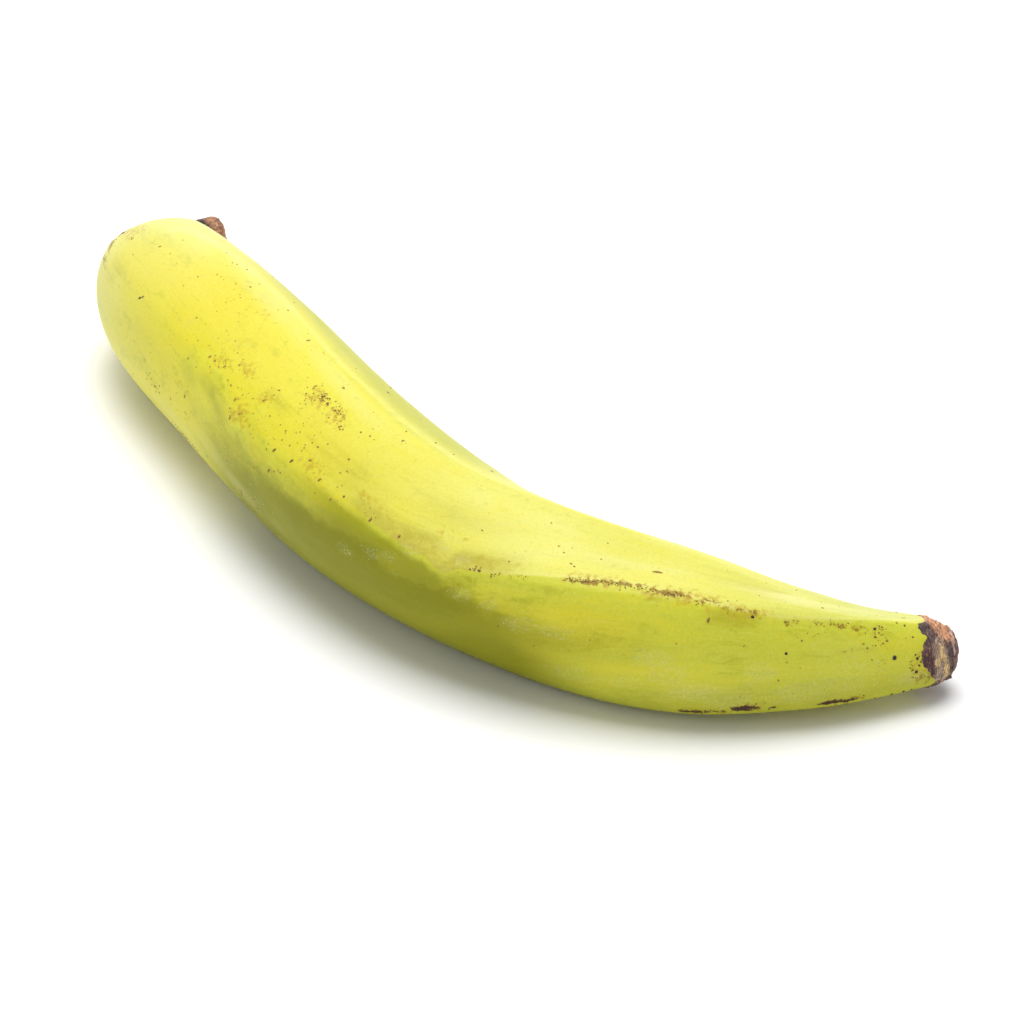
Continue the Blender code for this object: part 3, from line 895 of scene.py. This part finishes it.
def capMesh(name, form, proud, material):
    # proud(places, below, chart) gives how far the cap stands over the peel, in mm, and the chart
    # is the cap's surface laid out at one scale; the relief dies away in the middle of the face
    below = np.arange(form["pointsRound"]) * 360 / form["pointsRound"]
    steps = np.linspace(0, 1, form["rows"])
    places = smoothCurve(form["places"], steps)
    shares = smoothCurve(form["shares"], steps)[:, None]
    centre, ahead, spokes, radius = ringsAt(places, below)
    gridPlaces, gridBelow = (grid.ravel() for grid in np.meshgrid(places, below, indexing="ij"))
    flatX, flatY = (endRadius * wave(np.radians(below)) * shares for wave in (np.cos, np.sin))
    chart = np.stack([gridPlaces, flatX.ravel(), flatY.ravel()], -1)
    over = proud(gridPlaces, gridBelow, chart).reshape(radius.shape)
    length = radius * shares + over * np.clip(shares / 0.3, 0, 1)
    amount, start, run = form["slant"]
    leaning = amount * np.clip((places - start) / run, 0, 1)[:, None]
    push = leaning * shares * spokes[..., 2] * radius
    push = push + form["outward"] * over * (1 - np.clip(shares / 0.9, 0, 1))
    rows = centre[:, None] + mm * (push[..., None] * ahead[:, None] + length[..., None] * spokes)
    mesh = gridMesh(name, list(rows), material)
    fields = {field: sum(blob(gridPlaces, gridBelow, *spot) for spot in spots)
              for field, spots in form["fields"].items()}
    fields.update(share=np.repeat(shares, len(below)), place=gridPlaces)
    for field, value in fields.items():
        addValues(mesh, field, np.concatenate([value[:1], value, value[-1:]]))
    settle(mesh, laid)
    closeMesh(mesh)
    return mesh


flowerEnd = {
    "pointsRound": 300,
    "rows": 150,
    # along the cap's surface from under the peel (0) to the middle of its face (1)
    "places": ((0, 14.5), (0.62, 1.2), (0.72, 0), (0.82, -1), (0.9, -1.8), (0.96, -2), (1, -1.6)),
    "shares": ((0, 1), (0.62, 1), (0.72, 0.94), (0.82, 0.78), (0.9, 0.52), (0.96, 0.25), (1, 0.03)),
    "slant": (0, 0, 1),     # how far the face leans, from which mm, over how many mm
    "outward": -1,
    "edge": 8.2,            # mm, where the ragged edge runs, before its tongues
    # its tongues and bays: (degrees, half breadth in degrees, mm)
    "tongues": ((5, 11, 2.6), (-45, 30, -2), (55, 20, 1.7), (36, 12, 2), (96, 16, -1.6), (215, 25, 1.4)),
    # where each colour lies: (mm, degrees, half length mm, half breadth in degrees)
    "fields": {
        "copper": ((5, -20, 5, 34), (3, 8, 3, 16), (7, -70, 4, 34), (4, 195, 3, 24), (5, 290, 3, 20)),
        "cream": (
            (5.6, 40, 1.1, 10), (4.8, 56, 0.9, 8), (3.6, 76, 1.2, 12), (2.8, 92, 1, 8), (6.4, 62, 0.7, 8),
            (5, 150, 2, 18), (6, 250, 2, 16)),
        "tan": ((6, 40, 2, 26), (5, 78, 2, 24), (6, 200, 3, 50), (4, 300, 3, 30)),
        "maroon": ((9.2, 55, 1.7, 24), (8.6, 84, 1.4, 14), (9, 300, 3, 22), (9, 215, 3, 20), (5, 245, 3, 26)),
        "ashen": (
            (9.8, 4, 2.4, 12), (9.4, 92, 1.6, 14), (8, 20, 1.6, 10), (2.6, 56, 1, 20), (9, 170, 3, 20),
            (8, 250, 3, 14)),
        "mauve": ((-0.9, 58, 1, 26), (0.4, 100, 0.8, 16), (-1.2, 20, 0.8, 16), (-1, 200, 1, 30)),
        "rim": (
            (1.6, 30, 0.42, 16), (1.5, 52, 0.34, 14), (1.2, 4, 0.4, 14), (1.4, 150, 0.4, 30),
            (1.4, 260, 0.4, 30)),
    },
}


def flowerCrust(places, below, chart):
    # a ragged edge with tongues, fibres round the side and a rim round the face
    edge = flowerEnd["edge"]
    for turn, breadth, reach in flowerEnd["tongues"]:
        edge = edge + reach * lobe(below, turn, breadth)
    for reach, stretch, size, seed in ((0.9, 0.05, 3, 3), (0.8, 0.3, 1, 5), (0.4, 0.6, 0.5, 6)):
        edge = edge + reach * ruffle(chart, size, seed, (stretch, 1, 1))
    step = np.clip((edge - places) / 1.1, -0.7, 1)
    fibres = abs(ruffle(chart, 0.9, 7, (1, 0.30, 0.30)))
    threads = abs(ruffle(chart, 0.45, 8, (1, 0.22, 0.26)))
    lumps = ruffle(chart, 2.6, 9)
    crumbs = ruffle(chart, 0.6, 11)
    rim = np.exp(-((places - 1.4) / 0.5) ** 2) - 0.9 * np.exp(-((places - 0.2) / 0.45) ** 2)
    rough = 0.36 + 0.36 * lumps - 0.5 * fibres - 0.3 * threads + 0.14 * crumbs + 0.4 * rim
    sunk = np.clip((5 - places) / 4, 0, 1) * (0.5 + 0.8 * lobe(below, -40, 45))
    pits = 1.5 * blob(places, below, 0.6, 64, 0.8, 8) + 0.6 * blob(places, below, 3.4, 52, 0.5, 4)
    return np.where(step > 0, (0.1 + np.maximum(rough, 0.05)) * step, 0.5 * step) - pits - sunk


crustLook = {
    "dark": (0.070, 0.038, 0.034),
    "brown": (0.250, 0.135, 0.100),
    "maroon": (0.095, 0.026, 0.034),
    "copper": (0.95, 0.46, 0.25),
    "tan": (0.52, 0.37, 0.280),
    "ashen": (0.110, 0.075, 0.085),
    "cream": (0.92, 0.63, 0.27),
    "mauve": (0.40, 0.17, 0.19),
    "rim": (0.62, 0.42, 0.36),
    "pit": (0.018, 0.010, 0.010),
    "roughness": 0.68,
}


def crustMaterial():
    material, shader, graph = newMaterial("driedFlowerCrust")
    paint = Paint(graph, crustLook, "dark")
    ease = graph.ease
    solid = graph.onPiece()
    blotches = graph.grain(solid, 520, 3, 0.6) - 0.5
    crumbs = graph.grain(solid, 1500, 4, 0.7) - 0.5
    inwards = graph.attribute("place") - graph.attribute("share") * 8
    wound = graph.vector("ADD", graph.scaled(solid, 260), graph.xyz(inwards, 0, 0))
    strands = graph.grain(wound, 1.3, 3, 0.65, 0.5) - 0.5
    hairs = graph.grain(wound, 3.2, 2, 0.6, 0.4) - 0.5
    paint.lay("brown", ease(blotches + crumbs * 0.7, -0.14, 0.14))

    def layFields(fields):
        for name, gain, low, high, amount in fields:
            field = graph.attribute(name) * gain + strands * 2.2 + crumbs * 1.4
            paint.lay(name, ease(field, low, high) * amount)

    layFields((
        ("tan", 1.1, 0.2, 0.7, 0.9), ("copper", 0.9, 0.15, 0.6, 0.9), ("ashen", 1, 0.3, 0.7, 0.9),
        ("maroon", 1, 0.3, 0.7, 0.9), ("cream", 0.95, 0.36, 0.66, 0.92)))
    paint.lay("dark", ease(graph.attribute("share"), 0.965, 0.9) * 0.8)
    layFields((("mauve", 1, 0.35, 0.8, 0.85), ("rim", 1, 0.4, 0.8, 0.9)))
    cracks = ease(abs(strands + blotches * 0.3), 0.04, 0.008)
    cracks = graph.math("MAXIMUM", cracks, ease(hairs, -0.06, -0.16) * 0.8)
    paint.lay("pit", cracks * 0.75)
    paint.lay("cream", ease(hairs, 0.06, 0.2) * 0.3)
    paint.lay("pit", ease(crumbs, -0.06, -0.22) * 0.75)
    paint.lay("rim", ease(crumbs, 0.1, 0.25) * 0.22)
    graph.plug(shader, {
        "Base Color": paint.color,
        "Roughness": crustLook["roughness"] + crumbs * 0.3,
        "Normal": graph.bump(0.7, 0.25, crumbs + strands * 1.5 - cracks * 0.5),
    })
    return material


crust = addObject("driedFlowerEnd", capMesh("driedFlowerEnd", flowerEnd, flowerCrust, crustMaterial()))
print("dried flower end made")

stemEnd = {
    "pointsRound": 240,
    "rows": 110,
    "places": ((0, 334), (0.6, 343.2), (0.7, 344.2), (0.78, 344.5), (0.9, 344), (1, 343.5)),
    "shares": ((0, 1), (0.6, 1), (0.7, 0.99), (0.78, 0.86), (0.9, 0.42), (1, 0.03)),
    "slant": (0.28, 340, 3.5),
    "outward": 1,
    "edge": 338.5,
    "fields": {
        "copper": ((344, 0, 4, 60), (344, 180, 4, 60)),
        "dark": ((343, 90, 3, 50), (343, 225, 3, 30), (339.4, 315, 2, 60), (340.2, 340, 2.2, 20)),
    },
}


def stemBark(places, below, chart):
    # bark that rises to the rim of the cut, and a porous face
    waves = 2 * ruffle(chart, 4, 21, (0.05, 1, 1)) + 1.2 * ruffle(chart, 1.3, 23, (0.3, 1, 1))
    edge = stemEnd["edge"] + waves
    step = np.clip((places - edge) / 1.4, -0.6, 1)
    cracks = abs(ruffle(chart, 1.5, 25, (0.25, 1, 1)))
    crumbs = ruffle(chart, 0.8, 27)
    rough = 0.35 * ruffle(chart, 3.2, 29) - 0.6 * cracks + 0.22 * crumbs + 0.2
    knob = blob(places, below, 343.6, 305, 2, 28) - 0.7 * blob(places, below, 339.6, 315, 1.7, 60)
    return np.where(step > 0, (0.35 + rough + knob) * step, 0.5 * step)


barkLook = {
    "brown": (0.28, 0.12, 0.064),
    "fawn": (0.53, 0.275, 0.15),
    "cut": (0.43, 0.21, 0.13),
    "fresh": (0.80, 0.66, 0.48),
    "crack": (0.060, 0.028, 0.020),
    "pit": (0.040, 0.020, 0.016),
    "char": (0.030, 0.018, 0.016),
    "stain": (0.16, 0.075, 0.050),
    "roughness": 0.75,
}


def barkMaterial():
    material, shader, graph = newMaterial("driedStemBark")
    paint = Paint(graph, barkLook, "brown")
    ease = graph.ease
    solid = graph.onPiece()
    blotches = graph.grain(solid, 520, 3, 0.6) - 0.5
    crumbs = graph.grain(solid, 1700, 4, 0.7) - 0.5
    fresh = graph.grain(solid, 260, 1, 0.5) - 0.5
    pits = graph.node("ShaderNodeTexVoronoi", {}, {"Vector": solid, "Scale": 900}, output="Distance")
    face = ease(graph.attribute("share"), 0.95, 0.8)
    charred = ease(graph.attribute("dark") * (1 - face) + crumbs + blotches * 0.8, 0.3, 0.6)
    paint.lay("fawn", ease(blotches + crumbs * 0.5, -0.12, 0.12))
    paint.lay("cut", face * 0.5)
    paint.lay("fresh", ease(fresh + crumbs * 0.4, 0.13, 0.2) * 0.8)
    paint.lay("crack", ease(crumbs, -0.04, -0.2) * 0.7)
    paint.lay("pit", ease(pits, 0.24, 0.12) * 0.75)
    paint.lay("char", charred)
    paint.lay("stain", face * ease(blotches, 0.02, 0.14) * 0.6)
    graph.plug(shader, {
        "Base Color": paint.color,
        "Roughness": barkLook["roughness"] + crumbs * 0.3,
        "Normal": graph.bump(0.8, 0.3, crumbs + ease(pits, 0, 0.3)),
    })
    return material


stem = addObject("cutStemEnd", capMesh("cutStemEnd", stemEnd, stemBark, barkMaterial()))
print("cut stem end made")

# dried shreds that stand off the rim of the stem, and a few on the flower end
shreds = {
    # (mm, degrees below ridge one, length, width, lean towards the stem, sideways curl)
    "stem": (
        (342.6, 342, 2.2, 2.6, -3.4, 0.6), (343.4, 300, 0.8, 1.6, -2, -0.4), (342, 60, 1.1, 2.3, -2, 0.5),
        (342, 100, 1.3, 2.8, -2.6, -0.6), (342.2, 145, 1, 2.2, -1.8, 0.4), (342, 200, 1.2, 2.8, -2.4, 0.6),
        (342.3, 250, 1, 2.2, -1.8, -0.5), (342, 15, 1.2, 2.2, -1.6, 0.4),
    ),
    "flower": (
        (1.2, 110, 0.6, 1, -0.9, 0.3), (0.8, 170, 0.6, 1.2, -1.2, -0.3), (1, 235, 0.6, 1.2, -1.1, 0.3),
        (1, 300, 0.5, 1, -0.9, -0.2),
    ),
    "thickness": 0.6,
    "rooted": 0.8,          # mm under the peel
    "rows": 12,
    "pointsRound": 12,
    "black": (0.022, 0.014, 0.012),
    "brown": (0.10, 0.055, 0.035),
    "roughness": 0.8,
}


def shredMaterial():
    material, shader, graph = newMaterial("driedShreds")
    paint = Paint(graph, shreds, "black")
    paint.lay("brown", graph.ease(graph.grain(graph.onPiece(), 1600, 3, 0.6), 0.4, 0.7))
    graph.plug(shader, {"Base Color": paint.color, "Roughness": shreds["roughness"]})
    return material


def shredRows(place, turn, length, width, lean, curl):
    # rings along one shred, which curls and narrows to its tip
    turns = np.arange(shreds["pointsRound"])[:, None] * 2 * pi / shreds["pointsRound"]
    centre, ahead, spokes, radius = ringsAt(np.array([place]), np.array([turn]))
    outwards, forwards = spokes[0, 0], ahead[0]
    across = np.cross(outwards, forwards)
    grown = outwards * length + forwards * lean
    flat = np.cross(across, grown / np.linalg.norm(grown))
    root = centre[0] + laid + (radius[0, 0] - shreds["rooted"]) * mm * outwards
    rows = []
    for t in np.linspace(0, 1, shreds["rows"]):
        spine = root + mm * (grown * t + outwards * 0.5 * t * t + across * curl * t * t)
        taper = ((1 - t) ** 0.7 * (1 + 0.25 * sin(9 * t + place)) + 0.02) / 2 * mm
        loop = np.cos(turns) * width * across + np.sin(turns) * shreds["thickness"] * flat
        rows.append(spine + taper * loop)
    return rows


def shredMesh(material):
    joined = bmesh.new()
    for shred in shreds["stem"] + shreds["flower"]:
        part = gridMesh("shred", shredRows(*shred), material)
        joined.from_mesh(part)
        bpy.data.meshes.remove(part)
    mesh = bpy.data.meshes.new("driedShreds")
    joined.to_mesh(mesh)
    joined.free()
    mesh.materials.append(material)
    closeMesh(mesh)
    return mesh


ragged = addObject("driedShreds", shredMesh(shredMaterial()))
print("shreds made")

# pieces on their body
for piece in (body, speckled, crust, stem, ragged):
    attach(piece, "root")
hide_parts("plantain")

studio = {
    "aim": (0.0262, -0.0115, 0.0201),
    "azimuth": 38.29,
    "elevation": 30.99,
    "distance": 1.179,
    "lens": 159.2,
    "floorSize": 8,
    "floor": {"Base Color": (0.96, 0.96, 0.96, 1), "Roughness": 0.9, "Specular IOR Level": 0.1},
    "worldLight": 0.36,
    # azimuth, elevation, distance, size both ways, power
    "lights": {
        "backBox": (-125, 50, 2, (2, 1.5), 12),
        "rimBox": (-146, 11, 1.9, (1.3, 0.16), 4.8),
        "topBox": (200, 84, 2.2, (1.5, 1.5), 39),
        "fillBox": (0, 30, 2.2, (1.7, 1.7), 5.6),
    },
}


def addAimed(name, data, azimuth, elevation, distance, aim):
    # azimuth 0 looks along +Y, so the thing seen from there stands on the -Y side
    a, e = radians(azimuth), radians(elevation)
    away = Vector((sin(a) * cos(e), -cos(a) * cos(e), sin(e)))
    made = addObject(name, data)
    made.location = Vector(aim) + away * distance
    made.rotation_euler = (-away).to_track_quat("-Z", "Y").to_euler()
    return made


def setStage():
    scene = bpy.context.scene
    bpy.ops.mesh.primitive_plane_add(size=studio["floorSize"], location=(0, 0, -0.05 * mm))
    floor = bpy.context.object
    floor.name = "floor"
    material, shader, graph = newMaterial("paleFloor")
    graph.plug(shader, studio["floor"])
    floor.data.materials.append(material)
    scene.world = bpy.data.worlds.new("studioWorld")
    scene.world.use_nodes = True
    background = scene.world.node_tree.nodes["Background"].inputs
    background["Color"].default_value = (1, 1, 1, 1)
    background["Strength"].default_value = studio["worldLight"]
    for name, (azimuth, elevation, distance, size, power) in studio["lights"].items():
        light = bpy.data.lights.new(name, "AREA")
        light.shape = "RECTANGLE"
        light.size, light.size_y = size
        light.energy = power
        addAimed(name, light, azimuth, elevation, distance, (0, 0, 0))
    scene.view_settings.view_transform = "Standard"
    camera = bpy.data.cameras.new("camera")
    camera.lens = studio["lens"]
    camera.sensor_width = 36
    scene.camera = addAimed(
        "camera", camera, studio["azimuth"], studio["elevation"], studio["distance"], studio["aim"])


setStage()
